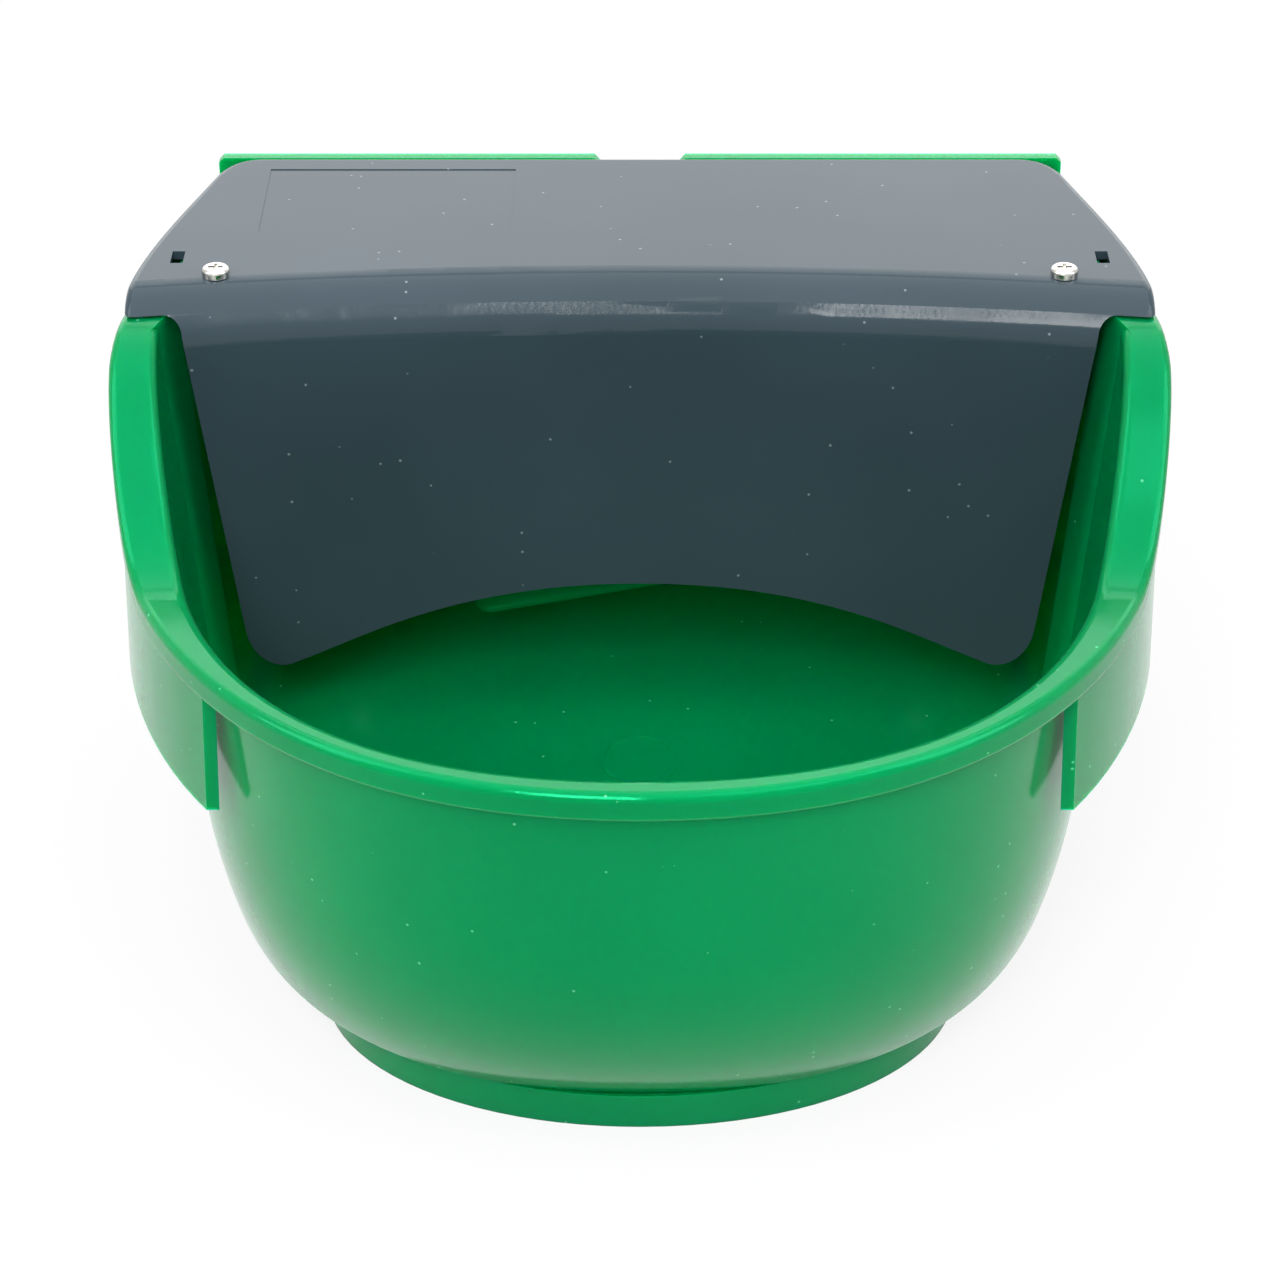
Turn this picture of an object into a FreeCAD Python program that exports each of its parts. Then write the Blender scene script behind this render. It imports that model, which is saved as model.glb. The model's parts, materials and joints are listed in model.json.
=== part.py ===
import FreeCAD, Part
import os
from math import cos, pi, radians, sin, sqrt, tan

# Float-controlled water bowl, millimetres.  +X right, +Y towards the wall, +Z up.
# The origin is on the floor, under the middle of the bowl's width and depth.

# ---- overall sizes -------------------------------------------------------------
WIDTH = 302.0             # across the rim at its widest
DEPTH = 277.0             # from the front of the rim to the wall
HEIGHT = 179.5            # from the floor to the top of the back plate

# ---- bowl ----------------------------------------------------------------------
WALL = 3.5                # moulded wall
RIM_Z = 124.0             # top of the front rim
RIM_BAND = 8.8            # width of the rim's top band in front
LIP = 3.0                 # thickness of the rim's turned-down lip and of the apron
LIP_DEPTH = 8.2           # height of the lip
RIM_ROUND = 2.4           # round on the rim's outer top edge
LIP_ROUND = 1.2           # round on the lip's lower edge
RIM_INNER_ROUND = WALL - 0.5   # round where the rim turns down into the basin
SKIRT_GAP = 0.8           # between the rim's top and the cover's turned-down edge
RISE_LENGTH = 77.0        # length of the rim's climb
RISE_MARGIN = 5.0         # from the flap forward to the end of the climb
RISE_FOOT = 0.38          # how slowly the climb starts, as a share of its length
RISE_HEAD = 0.38          # how slowly it ends
APRON_Z = 79.0            # lower edge of the side aprons
APRON_LOW_INSET = 0.5     # step from the lip's face in to the apron, at the apron's lower edge
APRON_TOP_INSET = 2.6     # the same step under the lip's rear end: the apron is drafted
APRON_LEAD = 37.0         # how far the side aprons run ahead of the climb
WIDEST_MARGIN = 22.0      # from the flap forward to where the rim is widest
REAR_TAPER = 17.6         # how much the rim's sides close in towards the rear corners
REAR_REACH = 0.14         # how soon the rim's sides turn towards the rear
REAR_CORNER = 14.0        # rear corner size of the rim
FRONT_FULLNESS = 0.83     # how far the front stays straight before it turns
SIDE_FULLNESS = 0.22      # how far the sides stay straight before they turn

BASIN_LEDGE = 4.0         # step from the lip's face to the basin's outer wall
BASIN_BAND = 13.6         # from the rim's outline in to the basin's inside at its shoulders
SHOULDER_MARGIN = 8.5     # from the flap forward to where the basin's sides step in
SHOULDER_LENGTH = 10.5    # length of that step
CHAMBER_STEP = 5.0        # how far the sides step in from the basin to the float chamber
CHAMBER_TAPER = 5.0       # how much the float chamber closes in towards its rear corners
CHAMBER_CORNER = 12.0
BASIN_FRONT_FULLNESS = 0.75
BASIN_SIDE_FULLNESS = 0.55
UPRIGHT = 15.4            # height of the upright band under the rim's rear part
SIDE_DRAFT = 4.8          # degrees, basin side walls below DRAFT_Z
BELLY_TOP_Z = 60.0        # the sides curve in below this height
BELLY_RADIUS = 285.0
FRONT_BELLY_TOP_Z = 64.0  # and the front below this one
FRONT_BELLY_RADIUS = 81.0
REAR_BELLY_TOP_Z = 78.0
REAR_BELLY_RADIUS = 80.0
BASIN_STEPS = 9           # outlines that the basin is lofted through, less one
FLOOR_Z = 14.0            # inside floor at its front edge
FLOOR_SLOPE = 7.0         # degrees, rising towards the wall
FLOOR_ROUND = 10.0        # round between the floor and the walls inside

FOOT_HEIGHT = 10.5
FOOT_HALF = 91.0
FOOT_LEAD = 22.5          # from the rim's front back to the foot's front
FOOT_NOSE = 66.0          # from the foot's front to where it is widest
FOOT_SETBACK = 72.5       # from the wall to the foot's rear
FOOT_CORNER = 34.0
FOOT_WALL = 4.0

GATE_RING_LEAD = 19.5     # moulded ring on the floor, ahead of the flap, where the plastic was fed in
GATE_RING_R = 11.6
GATE_RING_WIDTH = 0.8
GATE_RING_HEIGHT = 0.5

PLATE_INSET = 3.4         # from the rim's rear corners in to the back plate's sides
PLATE_LOW_Z = 62.0
NOTCH_HALF = 11.0         # notch in the middle of the back plate's top edge
NOTCH_DEPTH = 3.5
NOTCH_CHAMFER = 3.0

WALL_HOLE_R = 4.2         # wall fixing holes
WALL_HOLE_INSET = 32.4    # from the chamber's rear corners in to the wall holes
WALL_HOLE_SPACING_Z = 26.0
WALL_HOLE_DROP = 37.5     # from the back plate's top down to the middle of the holes
WALL_PAD_R = 10.0
WALL_PAD_HEIGHT = 2.5

# ---- cover ---------------------------------------------------------------------
COVER_T = 2.6             # sheet thickness of the cover
COVER_RISE = 0.5          # from the back plate's top up to the cover's top
COVER_SIDE_INSET = 3.0    # from the rim's outline in to the cover's front corners
COVER_REAR_INSET = 3.9    # the same at the rear corners
COVER_REAR_CORNER = 12.0
COVER_REACH = 0.30        # how soon the cover's sides turn in, as a share of their length
COVER_FRONT_CORNER = 6.0
COVER_SKIRT = 5.8         # depth of the cover's turned-down edge
COVER_EDGE_ROUND = 2.4
COVER_GAP = 0.4           # clearance all round between the cover and the bowl
BEND_RADIUS = 15.0        # outside radius of the bend into the flap
CHAMBER_DEPTH = 96.5      # from the wall to the flap's front face on the centre line
FLAP_CURVE_RADIUS = 1000.0
FLAP_INSET = 16.4         # from the cover's front corners in to the flap's sides
FLAP_TAPER = 13.0         # how much the flap's sides close in downwards
LOBE_HEIGHT = 12.5        # from a lobe's low point up to where the flap's side starts
FLAP_NECK = 5.5           # size of the rounded corner between the flap and the turned-down edge
LOBE_INSET = 13.6         # from the flap's side in to the lowest point of its lobe
FLAP_DROP = 123.0         # height of the cover and its flap
ARCH_HEIGHT = 24.7        # arch in the flap's lower edge

SCREW_INSET = 25.3        # from the cover's front corners in to its screws
SCREW_SETBACK = 8.5       # from the flap back to the screws
SCREW_R = 2.0
SCREW_HEAD_R = 4.0
SCREW_HEAD_H = 2.6
SCREW_LENGTH = 16.0
SCREW_GAP = 0.05          # thread-formed hole, drawn just clear of the shank
COVER_HOLE_GAP = 0.4      # clearance of the screws in the cover
BOSS_WALL = 3.0           # wall of the screw bosses
BOSS_EASE = 1.5           # how far behind the bend's inside the boss stays
BOSS_LENGTH = 39.4        # screw boss
SLOT_INSET = 13.0         # moulding windows beside the screws
SLOT_SETBACK = 12.0       # from the screws back to the windows
SLOT_WIDTH = 3.7
SLOT_LENGTH = 8.0
LABEL_MARGIN = 16.5       # shallow bare panel on the cover's top, from the cover's side
LABEL_SETBACK = 35.5      # from the wall to the panel's middle
LABEL_WIDTH = 75.0
LABEL_LENGTH = 45.0
LABEL_DEPTH = 0.3

# ---- inlet and float valve -----------------------------------------------------
INLET_SETBACK = 40.0      # from the wall to the inlet's axis
INLET_DROP = 40.0         # from the cover's top down to the inlet's axis
INLET_PAD_T = 5.5         # flat pad in the side wall
INLET_PAD_INSET = 2.4     # from the rim's rear half width in to the pad's outer face
PAD_MARGIN = 4.0          # how far the pad reaches beyond the gasket
NOTCH_MARGIN = 4.0        # how far the apron's notch clears the pad
THREAD_R = 10.48          # half of a G1/2 pipe thread
THREAD_FREE = 11.0        # thread beyond the lock nut, its groove included
THREAD_RELIEF = 1.5       # width of the groove between the lock nut and the free thread
HOLE_GAP = 0.3            # clearance of the thread in the wall and the gaskets
GASKET_T = 2.0
GASKET_WIDTH = 4.52
NUT_T = 7.0
NUT_WALL = 3.02           # metal outside the thread at the nut's flats
NUT_GAP = 0.05            # threads are drawn as plain bores just clear of each other
THREAD_WALL = 2.48        # wall of the threaded tube
BODY_SHOULDER = 0.52      # step from the thread up to the valve body
BODY_LENGTH = 45.5        # valve body inside the chamber
BODY_FLANGE_T = 5.0
BORE_STEP = 1.0           # step from the inlet's bore down to the piston's
SEAT_DEPTH = 13.5         # from the pad in to the face that the nozzle seats on
OUTLET_R = 4.0
OUTLET_SETBACK = 9.0      # from the seat to the outlet

PIVOT_SETBACK = 8.0       # from the body's end to the lever's pivot
PIVOT_CLEAR = 2.0         # between the lever's hub and the piston's bore
PIN_R = 2.0
PIN_GAP = 0.05
EAR_GAP = 0.4             # side play of the lever between the ears
EAR_T = 3.0
EAR_WALL = 3.5
HUB_WALL = 3.0
HUB_WIDTH = 9.0
FINGER_SHORT = 3.0        # from the inlet's axis down to the middle of the finger's tip
FINGER_R = 1.8
FINGER_GAP = 0.35
PISTON_GAP = 0.05
PISTON_LENGTH = 26.0
SEAL_WALL = 2.4           # wall of the piston round its seal
SEAL_T = 3.0
SEAL_PROUD = 1.0
NOZZLE_FLANGE_T = 2.5
NOZZLE_TIP = 3.0
NOZZLE_ORIFICE_R = 1.6

FLOAT_DROP = 11.0         # degrees the lever hangs below level with no water
FLOAT_CLOSE = 15.0        # degrees it rises to shut the valve

ARM_WIDTH = 12.0
ARM_T = 3.0
ARM_TOP_BELOW_PIVOT = 4.2 # from the pivot down to the top of the float arm
ARM_REACH = 108.0         # from the pivot to the arm's far end
ARM_START = 13.0          # from the pivot to the arm's near end
LEVER_REACH = 32.0        # from the pivot to the lever plate's end
CLAMP_REACH = 23.0        # from the pivot to the clamping screw
CLAMP_GAP = 0.5           # clearance of the clamping screw in its slot
CLAMP_R = 2.5
CLAMP_HEAD_R = 4.5
CLAMP_HEAD_H = 3.0

FLOAT_REACH = 150.0       # from the pivot to the float's far end
FLOAT_LENGTH = 95.0
FLOAT_SETBACK = 21.5      # from the flap back to the float
FLOAT_WIDTH = 58.0
FLOAT_HEIGHT = 35.0
FLOAT_WALL = 2.0
FLOAT_CORNER = 7.0
FLOAT_LID_T = 2.5
FLOAT_BOSS_R = 4.5
FLOAT_BOSS_H = 8.0
FLOAT_SCREW_REACHES = (50.0, 70.0)   # float screws, from the float's far end

# ---- derived places ------------------------------------------------------------
FRONT_Y = -DEPTH / 2
WALL_Y = DEPTH / 2
HALF = WIDTH / 2
TALL = 2 * HEIGHT         # longer than anything it cuts

# heights
COVER_TOP_Z = HEIGHT + COVER_RISE
COVER_UNDER_Z = COVER_TOP_Z - COVER_T
SHOULDER_Z = COVER_TOP_Z - COVER_SKIRT - SKIRT_GAP
DRAFT_Z = SHOULDER_Z - UPRIGHT
WALL_HOLE_MID_Z = HEIGHT - WALL_HOLE_DROP
LOBE_Z = COVER_TOP_Z - FLAP_DROP
FLAP_CORNER_Z = LOBE_Z + LOBE_HEIGHT
ARCH_Z = LOBE_Z + ARCH_HEIGHT
BOSS_LOW_Z = COVER_UNDER_Z - BOSS_LENGTH
INLET_Z = COVER_TOP_Z - INLET_DROP

# depths
FLAP_Y = WALL_Y - CHAMBER_DEPTH
FLAP_CENTRE_Y = FLAP_Y - FLAP_CURVE_RADIUS
COVER_REAR_Y = WALL_Y - WALL - COVER_GAP
RISE_END_Y = FLAP_Y - RISE_MARGIN
RISE_START_Y = RISE_END_Y - RISE_LENGTH
APRON_FRONT_Y = RISE_START_Y - APRON_LEAD
WIDEST_Y = FLAP_Y - WIDEST_MARGIN
SHOULDER_Y = FLAP_Y - SHOULDER_MARGIN
CHAMBER_Y = SHOULDER_Y + SHOULDER_LENGTH
COVER_SCREW_Y = FLAP_Y + SCREW_SETBACK
SLOT_Y = COVER_SCREW_Y + SLOT_SETBACK
LABEL_Y = WALL_Y - LABEL_SETBACK
INLET_Y = WALL_Y - INLET_SETBACK
FLOAT_FRONT_Y = FLAP_Y + FLOAT_SETBACK
FOOT_FRONT_Y = FRONT_Y + FOOT_LEAD
FOOT_STATION_Y = FOOT_FRONT_Y + FOOT_NOSE
FOOT_REAR_Y = WALL_Y - FOOT_SETBACK
GATE_RING_Y = FLAP_Y - GATE_RING_LEAD

# half widths and places across
REAR_HALF = HALF - REAR_TAPER
BASIN_HALF = HALF - BASIN_BAND
CHAMBER_HALF = BASIN_HALF - CHAMBER_STEP
CHAMBER_REAR_HALF = CHAMBER_HALF - CHAMBER_TAPER
PLATE_HALF = REAR_HALF - PLATE_INSET
COVER_HALF = HALF - COVER_SIDE_INSET
COVER_REAR_HALF = REAR_HALF - COVER_REAR_INSET
FLAP_TOP_HALF = COVER_HALF - FLAP_INSET
FLAP_LOW_HALF = FLAP_TOP_HALF - FLAP_TAPER
LOBE_X = FLAP_LOW_HALF - LOBE_INSET
COVER_SCREW_X = COVER_HALF - SCREW_INSET
SLOT_X = COVER_HALF - SLOT_INSET
LABEL_X = LABEL_MARGIN + LABEL_WIDTH / 2 - COVER_REAR_HALF
INLET_PAD_OUT_X = REAR_HALF - INLET_PAD_INSET
INLET_PAD_IN_X = INLET_PAD_OUT_X - INLET_PAD_T
THREAD_END_X = INLET_PAD_OUT_X + GASKET_T + NUT_T + THREAD_FREE
BODY_END_X = INLET_PAD_IN_X - BODY_LENGTH
SEAT_X = INLET_PAD_IN_X - SEAT_DEPTH
OUTLET_X = SEAT_X - OUTLET_SETBACK
PIVOT_X = BODY_END_X + PIVOT_SETBACK
ARM_LEFT_X = PIVOT_X - ARM_REACH
ARM_RIGHT_X = PIVOT_X - ARM_START
LEVER_LEFT_X = PIVOT_X - LEVER_REACH
CLAMP_X = PIVOT_X - CLAMP_REACH
FLOAT_LEFT_X = PIVOT_X - FLOAT_REACH
FLOAT_SCREW_XS = [FLOAT_LEFT_X + reach for reach in FLOAT_SCREW_REACHES]
WALL_HOLE_SPACING_X = 2 * (CHAMBER_REAR_HALF - WALL_HOLE_INSET)

# what fits round a thread, a screw or a pin
INLET_BORE_R = THREAD_R - THREAD_WALL
PISTON_BORE_R = INLET_BORE_R - BORE_STEP
BODY_R = THREAD_R + BODY_SHOULDER
GASKET_R = THREAD_R + GASKET_WIDTH
NUT_FLATS = 2 * (THREAD_R + NUT_WALL)
INLET_PAD_R = GASKET_R + PAD_MARGIN
INLET_NOTCH_R = INLET_PAD_R + NOTCH_MARGIN
COVER_HOLE_R = SCREW_R + COVER_HOLE_GAP
BOSS_R = SCREW_R + BOSS_WALL
HUB_R = PIN_R + HUB_WALL
PIVOT_Z = INLET_Z - PISTON_BORE_R - HUB_R - PIVOT_CLEAR
FINGER_RISE = INLET_Z - FINGER_SHORT - PIVOT_Z   # from the pivot to the middle of the finger's tip
EAR_R = PIN_R + EAR_WALL
SEAL_R = PISTON_BORE_R - SEAL_WALL
CLAMP_SLOT = 2 * (CLAMP_R + CLAMP_GAP)


def vec(x, y, z):
    return FreeCAD.Vector(x, y, z)


X_AXIS = vec(1, 0, 0)
Y_AXIS = vec(0, 1, 0)
Z_AXIS = vec(0, 0, 1)


# ---- small tools ---------------------------------------------------------------
def box(x0, x1, y0, y1, z0, z1):
    return Part.makeBox(x1 - x0, y1 - y0, z1 - z0, vec(x0, y0, z0))


def rod(radius, start, end):
    along = end - start
    return Part.makeCylinder(radius, along.Length, start, along)


def tube(outer, inner, start, end):
    return rod(outer, start, end).cut(rod(inner, start, end))


def hexagon(flats, start, end):
    """Hexagonal bar along X with flat faces above and below."""
    corner = flats / 2 / cos(pi / 6)
    points = [vec(start.x, start.y + corner * cos(k * pi / 3), start.z + corner * sin(k * pi / 3))
              for k in range(7)]
    return Part.Face(Part.makePolygon(points)).extrude(end - start)


def fuse(first, *others):
    return first.multiFuse(list(others)).removeSplitter()


def mirror_x(shape):
    return shape.mirror(vec(0, 0, 0), X_AXIS)


def both_sides(shape):
    return [shape, mirror_x(shape)]


def bezier(points):
    curve = Part.BezierCurve()
    curve.setPoles(points)
    return curve.toShape()


def mirrored(points):
    return [vec(-p.x, p.y, p.z) for p in reversed(points)]


def side_curve(half, station, rear, rear_half, corner, share, z):
    """Right side from the widest station back to the start of the rear corner."""
    end = rear - corner
    reach = (end - station) * share
    closing = 1.3 * (half - rear_half) / (end - station)
    return [vec(half, station, z), vec(half, station + reach, z),
            vec(rear_half + closing * reach, end - reach, z), vec(rear_half, end, z)]


def corner_curve(side, rear, corner, z):
    """Rear right corner, tangent to the side curve and to the rear line."""
    start = side[3]
    heading = (side[3] - side[2]).normalize()
    return [start, start + heading * (0.55 * corner),
            vec(start.x - 0.5 * corner, rear, z), vec(start.x - 1.1 * corner, rear, z)]


def oval_curve(front, half, station, front_full, side_full, z):
    """Right half of the oval front, from the middle to the widest station."""
    return [vec(0, front, z), vec(front_full * half, front, z),
            vec(half, station - side_full * (station - front), z), vec(half, station, z)]


def closed_wire(right):
    """Closes the right half of an outline, given from front to rear, with its mirror image."""
    left = [mirrored(points) for points in reversed(right)]
    rear_line = Part.makeLine(right[-1][-1], left[0][0])
    return Part.Wire([rear_line] + [bezier(points) for points in left + right])


def plan_wire(z, front, half, station, rear, rear_half, corner, share, front_full, side_full):
    """Closed outline seen from above: oval front, closing sides, straight rear."""
    side = side_curve(half, station, rear, rear_half, corner, share, z)
    return closed_wire([oval_curve(front, half, station, front_full, side_full, z), side,
                        corner_curve(side, rear, corner, z)])


def prism(wire, height):
    return Part.Face(wire).extrude(vec(0, 0, height))


def edges_where(shape, test):
    return [edge for edge in shape.Edges if test(edge)]


# ---- bowl ----------------------------------------------------------------------
def belly(z, top, radius):
    """How far a wall has curved in at height z, on an arc that is upright at its top."""
    drop = max(0.0, top - z)
    return radius - sqrt(radius ** 2 - drop ** 2)


def side_half(z, at_top):
    """Inner half width of the basin at height z, from its value at DRAFT_Z."""
    draft = tan(radians(SIDE_DRAFT)) * max(0.0, DRAFT_Z - z)
    return at_top - draft - belly(z, BELLY_TOP_Z, BELLY_RADIUS)


def basin_wire(z, grow):
    """Basin outline at height z: grow 0 is the inside, grow WALL the outside."""
    outside_front = FRONT_Y + BASIN_LEDGE + belly(z, FRONT_BELLY_TOP_Z, FRONT_BELLY_RADIUS)
    inside_front = max(FRONT_Y + RIM_BAND, outside_front + WALL)
    front = outside_front if grow > 0 else inside_front
    rear = WALL_Y - WALL - belly(z, REAR_BELLY_TOP_Z, REAR_BELLY_RADIUS) + grow
    half = side_half(z, BASIN_HALF) + grow
    corner = CHAMBER_CORNER + grow
    shoulder = vec(half, SHOULDER_Y + grow / 3, z)
    inner = vec(side_half(z, CHAMBER_HALF) + grow, CHAMBER_Y + grow / 3, z)
    end = vec(side_half(z, CHAMBER_REAR_HALF) + grow, rear - corner, z)
    oval = oval_curve(front, half, shoulder.y, BASIN_FRONT_FULLNESS, BASIN_SIDE_FULLNESS, z)
    side = [inner, inner + (end - inner) / 3, end - (end - inner) / 3, end]
    return closed_wire([oval, [shoulder, inner], [inner, end], corner_curve(side, rear, corner, z)])


def basin_solid(low, high, grow):
    """Smooth basin through outlines that lie closer together near the floor."""
    heights = [low + (high - low) * (k / BASIN_STEPS) ** 1.4 for k in range(BASIN_STEPS + 1)]
    loft = Part.makeLoft([basin_wire(z, grow) for z in heights], True, False)
    return loft.common(box(-WIDTH, WIDTH, -DEPTH, WALL_Y - WALL + grow, low, high))


def floor_wedge(height):
    """Everything below a plane that is at this height at the front and climbs to the rear."""
    length = 2 * DEPTH
    slope = radians(FLOOR_SLOPE)
    wedge = Part.makeBox(2 * WIDTH, length, HEIGHT, vec(-WIDTH, 0, -HEIGHT))
    wedge.rotate(vec(0, 0, 0), X_AXIS, FLOOR_SLOPE)
    wedge.translate(vec(0, FOOT_FRONT_Y, height) - vec(0, cos(slope), sin(slope)) * (length / 4))
    return wedge


def rim_line(drop):
    """The rim's top line less drop, seen from the side, at x = -WIDTH."""
    run = RISE_END_Y - RISE_START_Y
    start = vec(-WIDTH, RISE_START_Y, RIM_Z - drop)
    end = vec(-WIDTH, RISE_END_Y, SHOULDER_Z - drop)
    climb = bezier([start, start + Y_AXIS * (RISE_FOOT * run), end - Y_AXIS * (RISE_HEAD * run), end])
    return [Part.makeLine(vec(-WIDTH, -DEPTH, start.z), start), climb,
            Part.makeLine(end, vec(-WIDTH, DEPTH, end.z))]


def below_rim(drop):
    """Everything lower than the rim's top line less drop, as a slab along X."""
    far_front = vec(-WIDTH, -DEPTH, RIM_Z - drop)
    far_rear = vec(-WIDTH, DEPTH, SHOULDER_Z - drop)
    low_rear = vec(-WIDTH, DEPTH, -HEIGHT)
    low_front = vec(-WIDTH, -DEPTH, -HEIGHT)
    wire = Part.Wire(rim_line(drop) + [Part.makeLine(far_rear, low_rear),
                                       Part.makeLine(low_rear, low_front),
                                       Part.makeLine(low_front, far_front)])
    return Part.Face(wire).extrude(vec(2 * WIDTH, 0, 0))


def rim_wire(z, inset):
    return plan_wire(z, FRONT_Y + inset, HALF - inset, WIDEST_Y, WALL_Y, REAR_HALF - inset,
                     REAR_CORNER, REAR_REACH, FRONT_FULLNESS, SIDE_FULLNESS)


def drafted_rim(extra):
    """Block from the apron's lower edge up, set in from the lip by the apron's steps plus extra."""
    low = rim_wire(APRON_Z, APRON_LOW_INSET + extra)
    high = rim_wire(SHOULDER_Z + 5, APRON_TOP_INSET + extra)
    return Part.makeLoft([low, high], True, True)


def rim_and_apron():
    """Rim with a bead round its edge that climbs to the cover, and an apron down each side."""
    bead = prism(rim_wire(APRON_Z, 0), HEIGHT).common(below_rim(0)).cut(below_rim(LIP_DEPTH))
    bead = bead.makeFillet(RIM_ROUND, edges_where(bead, lambda e: is_bead_edge(e, 0)))
    bead = bead.makeFillet(LIP_ROUND, edges_where(bead, lambda e: is_bead_edge(e, LIP_DEPTH)))
    apron = drafted_rim(0).common(below_rim(WALL / 2))
    apron = apron.cut(box(-WIDTH, WIDTH, -DEPTH, APRON_FRONT_Y, 0, HEIGHT))
    hollow = drafted_rim(LIP).common(below_rim(WALL))
    return bead.fuse(apron).cut(hollow)


def is_bead_edge(edge, drop):
    """Edge round the outside of the bead, at its top (drop 0) or along its lower side."""
    point = edge.valueAt((edge.FirstParameter + edge.LastParameter) / 2)
    if point.y > WALL_Y - REAR_CORNER or edge.BoundBox.YLength < REAR_CORNER:
        return False
    seen = Part.Vertex(vec(-WIDTH, point.y, point.z))
    return Part.Wire(rim_line(drop)).distToShape(seen)[0] < 0.01


def foot_wire(z, inset):
    return plan_wire(z, FOOT_FRONT_Y + inset, FOOT_HALF - inset, FOOT_STATION_Y,
                     FOOT_REAR_Y - inset, FOOT_HALF - 6 - inset, FOOT_CORNER - inset, 0.36, 0.56, 0.56)


def foot_ring(body):
    """Standing ring, low in front and reaching up to the sloping underside."""
    tall = prism(foot_wire(0, 0), HEIGHT / 3).cut(prism(foot_wire(0, FOOT_WALL), HEIGHT / 3))
    low = tall.common(box(-WIDTH, WIDTH, -DEPTH, DEPTH, 0, FOOT_HEIGHT))
    return fuse(low, tall.common(body))


def back_plate():
    notch_low = HEIGHT - NOTCH_DEPTH
    y = WALL_Y - WALL
    outline = [vec(-PLATE_HALF, y, PLATE_LOW_Z), vec(PLATE_HALF, y, PLATE_LOW_Z),
               vec(PLATE_HALF, y, HEIGHT - 1.5), vec(PLATE_HALF - 1.5, y, HEIGHT),
               vec(NOTCH_HALF + NOTCH_CHAMFER, y, HEIGHT), vec(NOTCH_HALF, y, notch_low),
               vec(-NOTCH_HALF, y, notch_low), vec(-NOTCH_HALF - NOTCH_CHAMFER, y, HEIGHT),
               vec(-PLATE_HALF + 1.5, y, HEIGHT), vec(-PLATE_HALF, y, HEIGHT - 1.5)]
    face = Part.Face(Part.makePolygon(outline + outline[:1]))
    return face.extrude(vec(0, WALL, 0))


def wall_hole_centres():
    return [vec(sx * WALL_HOLE_SPACING_X / 2, WALL_Y, WALL_HOLE_MID_Z + sz * WALL_HOLE_SPACING_Z / 2)
            for sx in (-1, 1) for sz in (-1, 1)]


def screw_boss():
    """Post with a web to the side wall, under one cover screw, eased below the cover's bend."""
    top = vec(COVER_SCREW_X, COVER_SCREW_Y, COVER_UNDER_Z)
    post = rod(BOSS_R, vec(top.x, top.y, BOSS_LOW_Z), top)
    web = box(top.x, CHAMBER_HALF + 1, top.y - WALL / 2, top.y + WALL / 2, BOSS_LOW_Z, top.z)
    eased = flap_region(COVER_T).translated(Y_AXIS * BOSS_EASE)
    return post.fuse(web).common(eased)


def inlet_pad():
    return rod(INLET_PAD_R, vec(INLET_PAD_IN_X, INLET_Y, INLET_Z),
               vec(INLET_PAD_OUT_X, INLET_Y, INLET_Z))


def inlet_cuts():
    """Flat outer seat, thread hole and apron notch at one inlet."""
    seat = rod(INLET_PAD_R, vec(INLET_PAD_OUT_X, INLET_Y, INLET_Z),
               vec(HALF + 10, INLET_Y, INLET_Z))
    inner_seat = rod(INLET_PAD_R, vec(INLET_PAD_IN_X - WALL, INLET_Y, INLET_Z),
                     vec(INLET_PAD_IN_X, INLET_Y, INLET_Z))
    hole = rod(THREAD_R + HOLE_GAP, vec(INLET_PAD_IN_X - 5, INLET_Y, INLET_Z),
               vec(HALF, INLET_Y, INLET_Z))
    notch_x = INLET_PAD_OUT_X + 3.5
    notch = rod(INLET_NOTCH_R, vec(notch_x, INLET_Y, INLET_Z), vec(HALF + 10, INLET_Y, INLET_Z))
    slot = box(notch_x, HALF + 10, INLET_Y - INLET_NOTCH_R, INLET_Y + INLET_NOTCH_R,
               APRON_Z - 5, INLET_Z)
    return [seat, inner_seat, hole, notch, slot]


def gate_ring():
    """Low ring left on the floor, square to the sloping floor."""
    rise = tan(radians(FLOOR_SLOPE)) * (GATE_RING_Y - FOOT_FRONT_Y)
    ring = tube(GATE_RING_R, GATE_RING_R - GATE_RING_WIDTH, vec(0, 0, -1),
                vec(0, 0, GATE_RING_HEIGHT))
    ring.rotate(vec(0, 0, 0), X_AXIS, FLOOR_SLOPE)
    ring.translate(vec(0, GATE_RING_Y, FLOOR_Z + rise))
    return ring


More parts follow.
